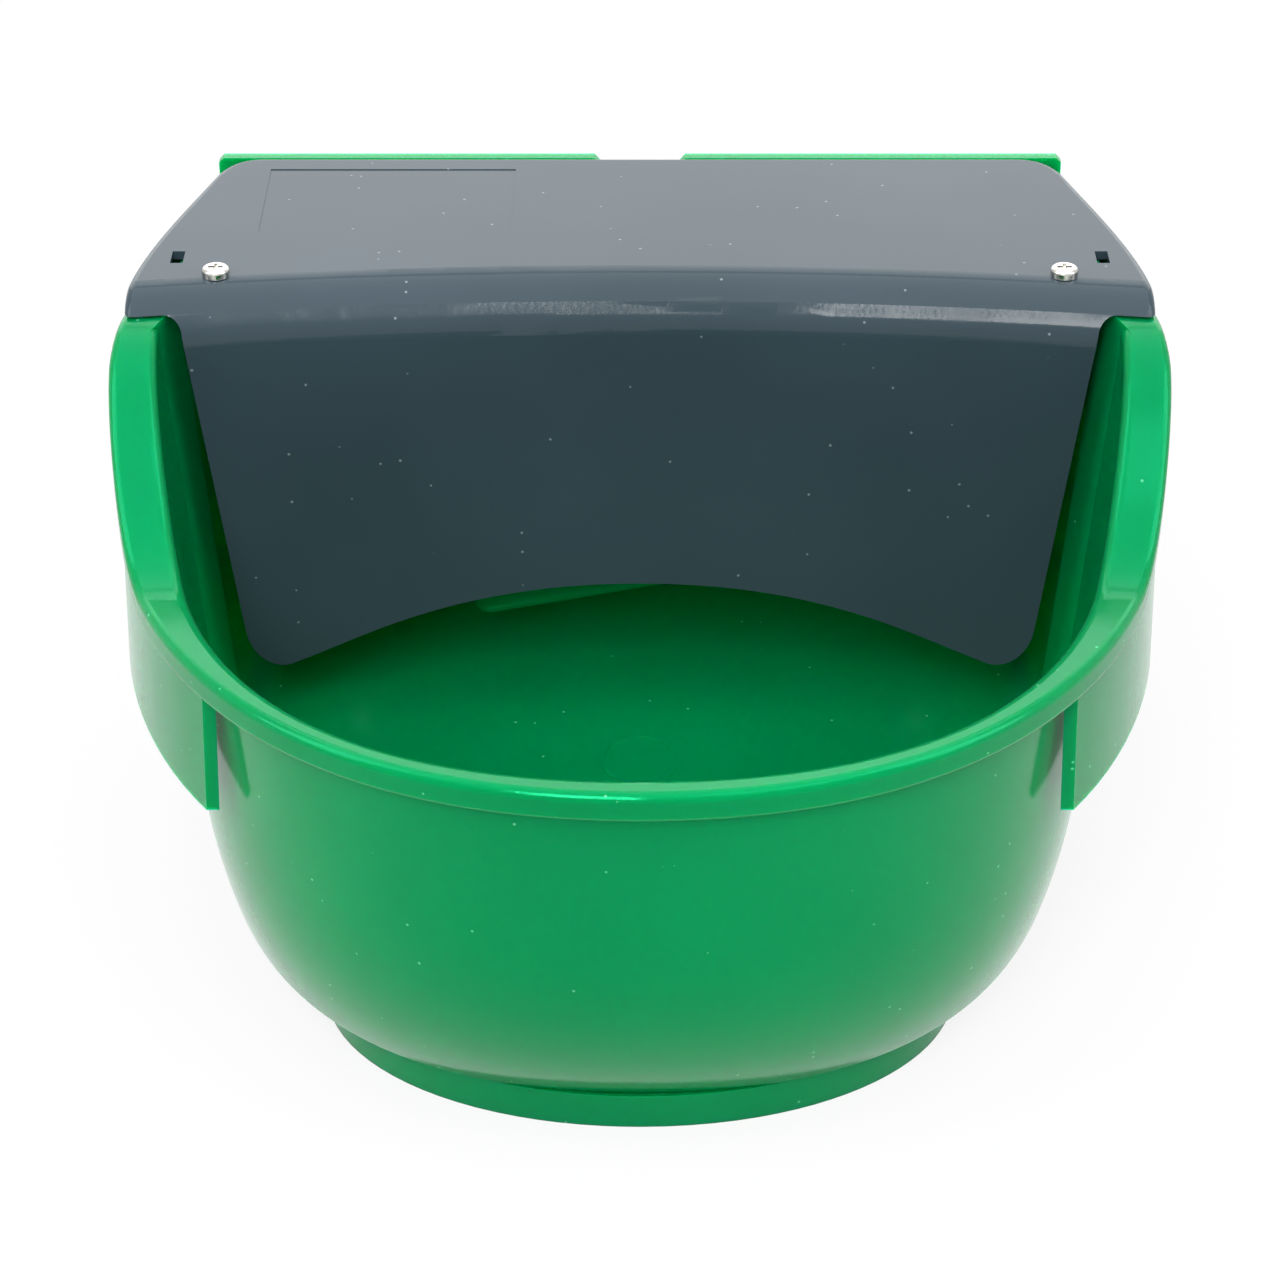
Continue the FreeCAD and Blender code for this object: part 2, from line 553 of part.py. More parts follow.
def bowl():
    low_z = FOOT_HEIGHT - 3
    whole = basin_solid(low_z, COVER_UNDER_Z, WALL)
    body = whole.cut(floor_wedge(FLOOR_Z - WALL)).common(below_rim(0))
    cavity = basin_solid(low_z, HEIGHT, 0).cut(floor_wedge(FLOOR_Z))
    floor_edges = edges_where(cavity, is_floor_edge)
    cavity = cavity.makeFillet(FLOOR_ROUND, floor_edges)
    ring = fuse(rim_and_apron(), body).cut(cavity)
    ring = ring.makeFillet(RIM_INNER_ROUND, edges_where(ring, is_inner_rim))
    foot = foot_ring(whole.common(below_rim(0))).cut(cavity)
    upstand = cover_volume(COVER_T + COVER_GAP, SHOULDER_Z - WALL).common(whole).cut(cavity)
    adds = [foot, back_plate(), upstand, gate_ring()]
    adds += both_sides(screw_boss()) + both_sides(inlet_pad())
    adds += [rod(WALL_PAD_R, c - Y_AXIS * (WALL + WALL_PAD_HEIGHT), c) for c in wall_hole_centres()]
    shell = fuse(ring, *adds)
    cuts = [rod(WALL_HOLE_R, c - Y_AXIS * 20, c + Y_AXIS) for c in wall_hole_centres()]
    for cut in inlet_cuts():
        cuts += both_sides(cut)
    top = vec(COVER_SCREW_X, COVER_SCREW_Y, COVER_UNDER_Z)
    cuts += both_sides(rod(SCREW_R + SCREW_GAP, top - Z_AXIS * SCREW_LENGTH, top))
    return shell.cut(Part.makeCompound(cuts))


def is_floor_edge(edge):
    rise = tan(radians(FLOOR_SLOPE)) * (edge.CenterOfMass.y - FOOT_FRONT_Y)
    return abs(edge.CenterOfMass.z - FLOOR_Z - rise) < 0.5


def is_inner_rim(edge):
    """Edge on the rim's top that lies on the basin's inside outline, ahead of the shoulders."""
    if edge.BoundBox.ZMin < RIM_Z - 0.1 or edge.BoundBox.YMax > SHOULDER_Y + 1:
        return False
    span = edge.LastParameter - edge.FirstParameter
    points = [edge.valueAt(edge.FirstParameter + span * share) for share in (0.2, 0.5, 0.8)]
    return all(basin_wire(p.z, 0).distToShape(Part.Vertex(p))[0] < 0.3 for p in points)


# ---- cover ---------------------------------------------------------------------
def flap_region(inset):
    """Space behind and below the cover's curved front, rounded at the bend."""
    radius = FLAP_CURVE_RADIUS + inset
    bend = BEND_RADIUS - inset
    top = COVER_TOP_Z - inset
    y = FLAP_CENTRE_Y + radius
    far = WALL_Y + 60
    arc_mid = vec(0, y + bend * (1 - cos(pi / 4)), top - bend * (1 - sin(pi / 4)))
    arc = Part.Arc(vec(0, y, top - bend), arc_mid, vec(0, y + bend, top)).toShape()
    wire = Part.Wire([Part.makeLine(vec(0, y, 0), vec(0, y, top - bend)), arc,
                      Part.makeLine(vec(0, y + bend, top), vec(0, far, top)),
                      Part.makeLine(vec(0, far, top), vec(0, far, 0)),
                      Part.makeLine(vec(0, far, 0), vec(0, y, 0))])
    face = Part.Face(wire)
    swing = 12.0
    centre = vec(0, FLAP_CENTRE_Y, 0)
    face.rotate(centre, Z_AXIS, -swing)
    return face.revolve(centre, Z_AXIS, 2 * swing)


def cover_plan(z, inset):
    """Outline of the cover from above: closing sides, and open ahead of the flap's front."""
    half = COVER_HALF - inset
    rear = COVER_REAR_Y - inset
    corner = COVER_FRONT_CORNER - inset / 2
    edge_y = FLAP_CENTRE_Y + sqrt(FLAP_CURVE_RADIUS ** 2 - half ** 2) + inset
    start = vec(half - corner, edge_y - 1, z)
    front = [start, vec(half - corner / 2, edge_y - 1, z), vec(half, edge_y + corner / 2, z),
             vec(half, edge_y + corner, z)]
    side = side_curve(half, front[3].y, rear, COVER_REAR_HALF - inset, COVER_REAR_CORNER,
                      COVER_REACH, z)
    right = [front, side, corner_curve(side, rear, COVER_REAR_CORNER, z)]
    left = [mirrored(points) for points in reversed(right)]
    ahead = vec(start.x, FRONT_Y, z)
    loop = [Part.makeLine(right[-1][3], left[0][0])] + [bezier(points) for points in left]
    loop += [Part.makeLine(left[-1][-1], vec(-ahead.x, ahead.y, z)),
             Part.makeLine(vec(-ahead.x, ahead.y, z), ahead), Part.makeLine(ahead, start)]
    return Part.Wire(loop + [bezier(points) for points in right])


def cover_volume(inset, low):
    """The cover as a filled block down to a height, shrunk all round by inset."""
    block = prism(cover_plan(low, inset), COVER_TOP_Z - inset - low)
    return block.common(flap_region(inset))


def flap_outline():
    """Front view of the flap, as a prism along Y."""
    neck_z = COVER_TOP_Z - COVER_SKIRT
    low = vec(LOBE_X, 0, LOBE_Z)
    side_low = vec(FLAP_LOW_HALF, 0, FLAP_CORNER_Z)
    side_high = vec(FLAP_TOP_HALF, 0, neck_z - FLAP_NECK)
    wide = vec(FLAP_TOP_HALF + FLAP_NECK, 0, neck_z)
    top = vec(wide.x, 0, COVER_TOP_Z + 5)
    neck = [wide, wide - X_AXIS * (0.6 * FLAP_NECK), side_high + Z_AXIS * (0.5 * FLAP_NECK), side_high]
    lobe = [side_low, vec(FLAP_LOW_HALF - 1.2, 0, FLAP_CORNER_Z - 9),
            vec(LOBE_X + 6, 0, LOBE_Z - 2), low]
    arch = [low, vec(LOBE_X - 22, 0, LOBE_Z + 8), vec(LOBE_X / 2 + 4, 0, ARCH_Z), vec(0, 0, ARCH_Z)]
    right = [[top, wide], neck, [side_high, side_low], lobe, arch]
    left = [mirrored(points) for points in reversed(right)]
    edges = [bezier(points) for points in right + left]
    face = Part.Face(Part.Wire(edges + [Part.makeLine(left[-1][-1], top)]))
    return face.extrude(vec(0, FLAP_Y + BEND_RADIUS + 5, 0))


def cover():
    skirt_z = COVER_TOP_Z - COVER_SKIRT
    outer = cover_volume(0, skirt_z)
    outer = outer.makeFillet(COVER_EDGE_ROUND, edges_where(outer, is_cover_top))
    tray = outer.cut(cover_volume(COVER_T, skirt_z - 1))
    flap = flap_region(0).cut(flap_region(COVER_T)).common(flap_outline())
    shape = fuse(tray, flap)
    cuts = []
    for side in (-1, 1):
        screw = vec(side * COVER_SCREW_X, COVER_SCREW_Y, 0)
        cuts.append(rod(COVER_HOLE_R, screw, screw + Z_AXIS * TALL))
        x = side * SLOT_X
        cuts.append(box(x - SLOT_WIDTH / 2, x + SLOT_WIDTH / 2, SLOT_Y - SLOT_LENGTH / 2,
                        SLOT_Y + SLOT_LENGTH / 2, COVER_UNDER_Z - 1, TALL))
    cuts.append(box(LABEL_X - LABEL_WIDTH / 2, LABEL_X + LABEL_WIDTH / 2,
                    LABEL_Y - LABEL_LENGTH / 2, LABEL_Y + LABEL_LENGTH / 2,
                    COVER_TOP_Z - LABEL_DEPTH, TALL))
    return shape.cut(Part.makeCompound(cuts))


def is_cover_top(edge):
    bounds = edge.BoundBox
    return bounds.ZMin > COVER_TOP_Z - 0.01 and bounds.YMax > FLAP_Y + BEND_RADIUS + 2


def cover_screw(side):
    seat = vec(side * COVER_SCREW_X, COVER_SCREW_Y, COVER_TOP_Z)
    head = rod(SCREW_HEAD_R, seat, seat + Z_AXIS * SCREW_HEAD_H)
    head = head.makeFillet(1.1, edges_where(head, lambda e: e.BoundBox.ZMin > COVER_TOP_Z + 1))
    shank = rod(SCREW_R, seat - Z_AXIS * (SCREW_LENGTH - 1), seat)
    top = seat.z + SCREW_HEAD_H
    blades = [box(seat.x - 2.1, seat.x + 2.1, seat.y - 0.45, seat.y + 0.45, top - 1.5, top + 1),
              box(seat.x - 0.45, seat.x + 0.45, seat.y - 2.1, seat.y + 2.1, top - 1.5, top + 1)]
    return head.fuse(shank).cut(blades[0].fuse(blades[1]))


def cover_screws():
    return Part.makeCompound([cover_screw(side) for side in (-1, 1)])


# ---- inlet ---------------------------------------------------------------------
def on_inlet(x):
    return vec(x, INLET_Y, INLET_Z)


def pivot_point():
    return vec(PIVOT_X, INLET_Y, PIVOT_Z)


def valve_body():
    """Brass body through the side wall, with ears for the lever below its open end."""
    flange_x = INLET_PAD_IN_X - GASKET_T
    barrel = rod(BODY_R, on_inlet(BODY_END_X), on_inlet(flange_x))
    flange = rod(GASKET_R, on_inlet(flange_x - BODY_FLANGE_T), on_inlet(flange_x))
    thread = rod(THREAD_R, on_inlet(flange_x), on_inlet(THREAD_END_X))
    thread = thread.makeChamfer(1.0, edges_where(thread, lambda e: e.BoundBox.XMin > THREAD_END_X - 1))
    nut_end = INLET_PAD_OUT_X + GASKET_T + NUT_T
    relief = tube(THREAD_R + 1, THREAD_R - 0.8, on_inlet(nut_end), on_inlet(nut_end + THREAD_RELIEF))
    thread = thread.cut(relief)
    pivot = pivot_point()
    ears = []
    for side in (-1, 1):
        near = pivot.y + side * (HUB_WIDTH / 2 + EAR_GAP)
        far = near + side * EAR_T
        ears.append(rod(EAR_R, vec(pivot.x, near, pivot.z), vec(pivot.x, far, pivot.z)))
        ears.append(box(pivot.x - EAR_R, pivot.x + EAR_R, min(near, far), max(near, far),
                        pivot.z, INLET_Z))
    shape = fuse(barrel, flange, thread, *ears)
    gap = (FINGER_R + FINGER_GAP) * 2 + 4
    cuts = [rod(INLET_BORE_R, on_inlet(SEAT_X + NOZZLE_FLANGE_T), on_inlet(THREAD_END_X + 1)),
            rod(PISTON_BORE_R, on_inlet(BODY_END_X - 1), on_inlet(SEAT_X + NOZZLE_FLANGE_T + 1)),
            rod(OUTLET_R, vec(OUTLET_X, INLET_Y, INLET_Z - BODY_R - 1), on_inlet(OUTLET_X)),
            box(BODY_END_X - 1, pivot.x + gap, INLET_Y - HUB_WIDTH / 2 - EAR_GAP,
                INLET_Y + HUB_WIDTH / 2 + EAR_GAP, pivot.z - 2 * EAR_R, INLET_Z),
            rod(PIN_R + PIN_GAP, pivot - Y_AXIS * 20, pivot + Y_AXIS * 20)]
    return shape.cut(Part.makeCompound(cuts))


def valve_nozzle():
    """Seat insert against which the piston's seal closes."""
    flange = rod(INLET_BORE_R - NUT_GAP, on_inlet(SEAT_X + NOZZLE_FLANGE_T),
                 on_inlet(SEAT_X + 2 * NOZZLE_FLANGE_T))
    stem = rod(PISTON_BORE_R - NUT_GAP, on_inlet(SEAT_X), on_inlet(SEAT_X + NOZZLE_FLANGE_T))
    tip = Part.makeCone(2.4, 4.0, NOZZLE_TIP, on_inlet(SEAT_X - NOZZLE_TIP), X_AXIS)
    bore = rod(NOZZLE_ORIFICE_R, on_inlet(SEAT_X - 2 * NOZZLE_TIP), on_inlet(SEAT_X + 10))
    mouth = Part.makeCone(NOZZLE_ORIFICE_R, 5.0, 3.0, on_inlet(SEAT_X + 2 * NOZZLE_FLANGE_T - 3), X_AXIS)
    return fuse(flange, stem, tip).cut(bore).cut(mouth)


def inlet_strainer():
    """Slotted cup in the inlet bore that keeps grit out of the seat."""
    start = SEAT_X + 2 * NOZZLE_FLANGE_T + 1
    end = THREAD_END_X - 4
    outer = INLET_BORE_R - 1.2
    cup = tube(outer, outer - 1.0, on_inlet(start), on_inlet(end))
    floor = rod(outer, on_inlet(start), on_inlet(start + 1.0))
    collar = tube(INLET_BORE_R - NUT_GAP, outer - 1.0, on_inlet(end - 2), on_inlet(end))
    slots = []
    for k in range(8):
        slot = box(start + 4, end - 5, INLET_Y - 0.8, INLET_Y + 0.8, INLET_Z + 2, INLET_Z + 20)
        slot.rotate(on_inlet(0), X_AXIS, 45.0 * k)
        slots.append(slot)
    return fuse(cup, floor, collar).cut(Part.makeCompound(slots))


def inlet_gaskets():
    inside = tube(GASKET_R, THREAD_R + HOLE_GAP, on_inlet(INLET_PAD_IN_X - GASKET_T),
                  on_inlet(INLET_PAD_IN_X))
    outside = tube(GASKET_R, THREAD_R + HOLE_GAP, on_inlet(INLET_PAD_OUT_X),
                   on_inlet(INLET_PAD_OUT_X + GASKET_T))
    return Part.makeCompound([inside, outside])


def pipe_nut(start_x, end_x):
    return hexagon(NUT_FLATS, on_inlet(start_x), on_inlet(end_x)).cut(
        rod(THREAD_R + NUT_GAP, on_inlet(start_x), on_inlet(end_x)))


def inlet_lock_nut():
    start = INLET_PAD_OUT_X + GASKET_T
    return pipe_nut(start, start + NUT_T)


def blanking_plug():
    """Closes the spare inlet: head outside, thread through the wall."""
    seat = INLET_PAD_OUT_X + GASKET_T
    head = hexagon(NUT_FLATS, on_inlet(seat), on_inlet(seat + NUT_T))
    thread = rod(THREAD_R, on_inlet(INLET_PAD_IN_X - NUT_T - 3), on_inlet(seat))
    hollow = rod(INLET_BORE_R, on_inlet(INLET_PAD_IN_X - NUT_T - 4), on_inlet(seat))
    return mirror_x(fuse(head, thread).cut(hollow))


def plug_gasket():
    return mirror_x(tube(GASKET_R, THREAD_R + HOLE_GAP, on_inlet(INLET_PAD_OUT_X),
                         on_inlet(INLET_PAD_OUT_X + GASKET_T)))


def plug_nut():
    return mirror_x(pipe_nut(INLET_PAD_IN_X - NUT_T, INLET_PAD_IN_X))


# ---- valve mechanism -----------------------------------------------------------
def hang(shape):
    """Turns a lever part from its level pose down to where it hangs when dry."""
    shape.rotate(pivot_point(), Y_AXIS, -FLOAT_DROP)
    return shape


def finger_x():
    return PIVOT_X - FINGER_RISE * sin(radians(FLOAT_DROP))


def piston_end_x():
    """Right end of the seal: shut, it stops a hair short of the nozzle."""
    travel = FINGER_RISE * radians(FLOAT_CLOSE)
    return SEAT_X - NOZZLE_TIP - 0.1 - travel


def valve_piston():
    right = piston_end_x() - SEAL_PROUD
    left = right - PISTON_LENGTH
    body = rod(PISTON_BORE_R - PISTON_GAP, on_inlet(left), on_inlet(right))
    pocket = rod(SEAL_R, on_inlet(right - SEAL_T + SEAL_PROUD), on_inlet(right + 1))
    reach = FINGER_R + FINGER_GAP
    x = finger_x()
    top = PIVOT_Z + FINGER_RISE + reach
    slot = box(x - reach, x + reach, INLET_Y - 10, INLET_Y + 10, INLET_Z - 10, top)
    return body.cut(pocket).cut(slot)


def piston_seal():
    end = piston_end_x()
    return rod(SEAL_R, on_inlet(end - SEAL_T), on_inlet(end))


def valve_lever():
    """Hub with an upright finger for the piston and a flat plate for the float arm."""
    pivot = pivot_point()
    half = HUB_WIDTH / 2
    hub = rod(HUB_R, pivot - Y_AXIS * half, pivot + Y_AXIS * half)
    tip = pivot + Z_AXIS * FINGER_RISE
    finger = rod(FINGER_R, tip - Y_AXIS * half, tip + Y_AXIS * half)
    stem = box(pivot.x - 1.2, pivot.x + 1.2, pivot.y - half, pivot.y + half, pivot.z, tip.z)
    low = pivot.z - ARM_TOP_BELOW_PIVOT
    plate = box(LEVER_LEFT_X, pivot.x - HUB_R - 3, pivot.y - ARM_WIDTH / 2, pivot.y + ARM_WIDTH / 2,
                low, low + ARM_T)
    neck = box(pivot.x - HUB_R - 4, pivot.x, pivot.y - half, pivot.y + half, low, low + ARM_T)
    shape = fuse(hub, finger, stem, plate, neck)
    hole = rod(CLAMP_R + HOLE_GAP, vec(CLAMP_X, pivot.y, low - 1), vec(CLAMP_X, pivot.y, low + 9))
    bore = rod(PIN_R + PIN_GAP, pivot - Y_AXIS * 10, pivot + Y_AXIS * 10)
    return hang(shape.cut(hole).cut(bore))


def lever_pin():
    pivot = pivot_point()
    reach = HUB_WIDTH / 2 + EAR_GAP + EAR_T
    stem = rod(PIN_R, pivot - Y_AXIS * reach, pivot + Y_AXIS * (reach + 3))
    head = rod(PIN_R + 1.4, pivot - Y_AXIS * (reach + 1.5), pivot - Y_AXIS * reach)
    groove = tube(PIN_R + 1, PIN_R - 0.5, pivot + Y_AXIS * (reach + 0.3), pivot + Y_AXIS * (reach + 1.3))
    return stem.fuse(head).cut(groove)


def pin_clip():
    """Spring clip in the pin's groove, open at one side."""
    pivot = pivot_point()
    start = HUB_WIDTH / 2 + EAR_GAP + EAR_T + 0.4
    ring = tube(PIN_R + 2.2, PIN_R - 0.45, pivot + Y_AXIS * start, pivot + Y_AXIS * (start + 0.8))
    mouth = box(pivot.x - 1.2, pivot.x + 1.2, pivot.y, pivot.y + 20, pivot.z - 10, pivot.z)
    return ring.cut(mouth)


def arm_top_z():
    return PIVOT_Z - ARM_TOP_BELOW_PIVOT


def float_arm():
    """Flat strip between the lever and the float, slotted where it is clamped."""
    top = arm_top_z()
    strip = box(ARM_LEFT_X, ARM_RIGHT_X, INLET_Y - ARM_WIDTH / 2, INLET_Y + ARM_WIDTH / 2,
                top - ARM_T, top)
    rounding = edges_where(strip, lambda e: e.BoundBox.ZLength > ARM_T / 2)
    strip = strip.makeFillet(4.0, rounding)
    radius = CLAMP_R + HOLE_GAP
    ends = [CLAMP_X - CLAMP_SLOT / 2, CLAMP_X + CLAMP_SLOT / 2]
    cuts = [rod(radius, vec(x, INLET_Y, top - 9), vec(x, INLET_Y, top + 1)) for x in ends]
    cuts.append(box(ends[0], ends[1], INLET_Y - radius, INLET_Y + radius, top - 9, top + 1))
    cuts += [rod(SCREW_R + HOLE_GAP, vec(x, INLET_Y, top - 9), vec(x, INLET_Y, top + 1))
             for x in FLOAT_SCREW_XS]
    return hang(strip.cut(Part.makeCompound(cuts)))


def arm_screw():
    """Clamp screw from below through the arm and the lever."""
    seat = vec(CLAMP_X, INLET_Y, arm_top_z() - ARM_T)
    head = rod(CLAMP_HEAD_R, seat - Z_AXIS * CLAMP_HEAD_H, seat)
    head = head.makeFillet(1.0, edges_where(head, lambda e: e.BoundBox.ZMax < seat.z - 1))
    return hang(head.fuse(rod(CLAMP_R, seat, seat + Z_AXIS * 14)))


def arm_nut():
    """Wing nut that sets the water level by hand."""
    base = vec(CLAMP_X, INLET_Y, arm_top_z() + ARM_T)
    hub = Part.makeCone(4.5, 3.6, 5.0, base, Z_AXIS)
    wings = []
    for side in (-1, 1):
        outline = [base + vec(0, side * 2, 1), base + vec(0, side * 8, 3.5),
                   base + vec(0, side * 9.5, 8), base + vec(0, side * 6.5, 8.5),
                   base + vec(0, side * 3, 4.5)]
        face = Part.Face(Part.makePolygon(outline + outline[:1]))
        face.translate(X_AXIS * -0.9)
        wings.append(face.extrude(X_AXIS * 1.8))
    bore = rod(CLAMP_R + NUT_GAP, base - Z_AXIS, base + Z_AXIS * 10)
    return hang(fuse(hub, *wings).cut(bore))


def float_block(inset, low, high):
    """Rounded block of the float's outline between two heights."""
    block = box(FLOAT_LEFT_X + inset, FLOAT_LEFT_X + FLOAT_LENGTH - inset, FLOAT_FRONT_Y + inset,
                FLOAT_FRONT_Y + FLOAT_WIDTH - inset, low, high)
    upright = edges_where(block, lambda e: e.BoundBox.ZLength > (high - low) / 2)
    return block.makeFillet(FLOAT_CORNER - inset, upright)


def float_lid_z():
    """Underside of the float's lid: the arm lies on the lid's top."""
    return arm_top_z() - ARM_T - FLOAT_LID_T


def float_shell():
    top = float_lid_z()
    low = top - FLOAT_HEIGHT + FLOAT_LID_T
    block = float_block(0, low, top)
    bottom = edges_where(block, lambda e: e.BoundBox.ZMax < low + 0.1)
    block = block.makeFillet(4.0, bottom)
    hollow = float_block(FLOAT_WALL, low + FLOAT_WALL, top + 1)
    return hang(block.cut(hollow))


def float_lid():
    under = float_lid_z()
    plate = float_block(0, under, under + FLOAT_LID_T)
    plate = plate.makeFillet(1.0, edges_where(plate, lambda e: e.BoundBox.ZMin > under + 1))
    spigot = float_block(FLOAT_WALL + 0.2, under - 3, under).cut(
        float_block(FLOAT_WALL + 2.0, under - 4, under + 1))
    bosses = [rod(FLOAT_BOSS_R, vec(x, INLET_Y, under - FLOAT_BOSS_H), vec(x, INLET_Y, under + 1))
              for x in FLOAT_SCREW_XS]
    holes = [rod(SCREW_R + SCREW_GAP, vec(x, INLET_Y, under - FLOAT_BOSS_H + 1.5),
                 vec(x, INLET_Y, under + FLOAT_LID_T + 1)) for x in FLOAT_SCREW_XS]
    return hang(fuse(plate, spigot, *bosses).cut(Part.makeCompound(holes)))


def float_screws():
    screws = []
    for x in FLOAT_SCREW_XS:
        seat = vec(x, INLET_Y, arm_top_z())
        head = rod(SCREW_HEAD_R, seat, seat + Z_AXIS * SCREW_HEAD_H)
        head = head.makeFillet(1.1, edges_where(head, lambda e: e.BoundBox.ZMin > seat.z + 1))
        drive = box(x - 2.4, x + 2.4, INLET_Y - 0.5, INLET_Y + 0.5, seat.z + 1.4, seat.z + 9)
        screws.append(head.fuse(rod(SCREW_R, seat - Z_AXIS * 11, seat)).cut(drive))
    return hang(Part.makeCompound(screws))


NODES = {
    "bowl": bowl,
    "cover": cover,
    "cover_screws": cover_screws,
    "valve_body": valve_body,
    "valve_nozzle": valve_nozzle,
    "inlet_strainer": inlet_strainer,
    "inlet_gaskets": inlet_gaskets,
    "inlet_lock_nut": inlet_lock_nut,
    "blanking_plug": blanking_plug,
    "plug_gasket": plug_gasket,
    "plug_nut": plug_nut,
    "valve_piston": valve_piston,
    "piston_seal": piston_seal,
    "valve_lever": valve_lever,
    "lever_pin": lever_pin,
    "pin_clip": pin_clip,
    "float_arm": float_arm,
    "arm_screw": arm_screw,
    "arm_wing_nut": arm_nut,
    "float_shell": float_shell,
    "float_lid": float_lid,
    "float_screws": float_screws,
}

os.makedirs("parts", exist_ok=True)
for name, make in NODES.items():
    shape = make()
    print(name, "solids", len(shape.Solids), "valid", shape.isValid(), "volume", round(shape.Volume))
    shape.exportStep("parts/" + name + ".step")
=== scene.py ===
import json
import bpy
from math import cos, radians, sin
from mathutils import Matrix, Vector

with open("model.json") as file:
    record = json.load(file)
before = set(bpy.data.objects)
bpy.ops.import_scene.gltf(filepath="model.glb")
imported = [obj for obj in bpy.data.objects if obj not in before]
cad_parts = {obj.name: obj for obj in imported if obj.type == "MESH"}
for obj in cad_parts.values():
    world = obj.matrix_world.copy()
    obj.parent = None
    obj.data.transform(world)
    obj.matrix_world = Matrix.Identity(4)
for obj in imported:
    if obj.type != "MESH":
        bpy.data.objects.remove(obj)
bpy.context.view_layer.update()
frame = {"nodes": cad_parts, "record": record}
nodes = frame["nodes"]


def srgb(r, g, b):
    """Linear colour from 0-255 screen values."""
    def linear(v):
        v /= 255
        return v / 12.92 if v <= 0.04045 else ((v + 0.055) / 1.055) ** 2.4
    return (linear(r), linear(g), linear(b), 1.0)


# ---- materials -------------------------------------------------------------------
# noise and cell scales of the moulded plastic, in features per metre
FLOW_SCALE = 9.0        # slow shades where the melt ran
WAVE_SCALE = 26.0       # faint waviness of the wall
PATCH_SCALE = 22.0      # patches of more or less gloss
SCUFF_SCALE = 60.0      # handling marks
DUST_SCALE = 340.0      # specks of dust
PEEL_SCALE = 700.0      # orange peel
DUST_SIZE = 0.17        # share of a cell's width
DUST_SHARE = 0.045      # share of the cells that hold a speck
DUST_COVER = 0.7        # how far a speck hides the plastic
LIGHT_DEPTH = 0.012     # how far light runs in the plastic, m
LIGHT_REACH = (0.15, 1.0, 0.45)   # and how much less so for each colour


class Tree:
    """A material's node tree with short calls for the nodes used here."""

    def __init__(self, name, **shader):
        self.material = bpy.data.materials.new(name)
        self.material.use_nodes = True
        self.tree = self.material.node_tree
        self.shader = self.tree.nodes["Principled BSDF"]
        for socket, value in shader.items():
            self.shader.inputs[socket.replace("_", " ")].default_value = value
        self.place = self.node("ShaderNodeTexCoord").outputs["Object"]

    def node(self, kind, **inputs):
        """Adds a node; an underscore in an input's name stands for a space."""
        made = self.tree.nodes.new(kind)
        for key, value in inputs.items():
            self.feed(made.inputs[key.replace("_", " ")], value)
        return made

    def feed(self, socket, value):
        if isinstance(value, bpy.types.NodeSocket):
            self.tree.links.new(value, socket)
        else:
            socket.default_value = value

    def noise(self, scale, detail=2.0, rough=0.5, stretch=(1, 1, 1)):
        at = self.node("ShaderNodeMapping", Vector=self.place, Scale=stretch)
        made = self.node("ShaderNodeTexNoise", Vector=at.outputs[0], Scale=scale, Detail=detail,
                         Roughness=rough)
        return made.outputs["Fac"]

    def ramp(self, fac, low, high, a, b):
        """Runs from a to b while fac runs from low to high."""
        made = self.node("ShaderNodeMapRange", Value=fac)
        for key, value in zip(("From Min", "From Max", "To Min", "To Max"), (low, high, a, b)):
            made.inputs[key].default_value = value
        return made.outputs[0]

    def mix(self, fac, a, b, blend="MIX"):
        made = self.node("ShaderNodeMix")
        made.data_type = "RGBA"
        made.blend_type = blend
        self.feed(made.inputs[0], fac)
        self.feed(made.inputs[6], a)
        self.feed(made.inputs[7], b)
        return made.outputs[2]

    def maths(self, kind, a, b):
        made = self.node("ShaderNodeMath")
        made.operation = kind
        self.feed(made.inputs[0], a)
        self.feed(made.inputs[1], b)
        return made.outputs[0]

    def specks(self, scale, size, share):
        """Small round spots: 1 on a spot, on the given share of cells."""
        cells = self.node("ShaderNodeTexVoronoi", Vector=self.place, Scale=scale)
        pick = self.node("ShaderNodeSeparateColor", Color=cells.outputs["Color"])
        chosen = self.maths("LESS_THAN", pick.outputs[0], share)
        round_spot = self.ramp(cells.outputs["Distance"], size, size * 0.6, 0, 1)
        return self.maths("MULTIPLY", chosen, round_spot)

    def bump(self, height, strength, distance, after=None):
        made = self.node("ShaderNodeBump", Height=height, Strength=strength, Distance=distance)
        if after:
            self.feed(made.inputs["Normal"], after)
        return made.outputs[0]

    def set(self, **links):
        """Feeds the shader's sockets and hands back the finished material."""
        for socket, value in links.items():
            self.feed(self.shader.inputs[socket.replace("_", " ")], value)
        return self.material


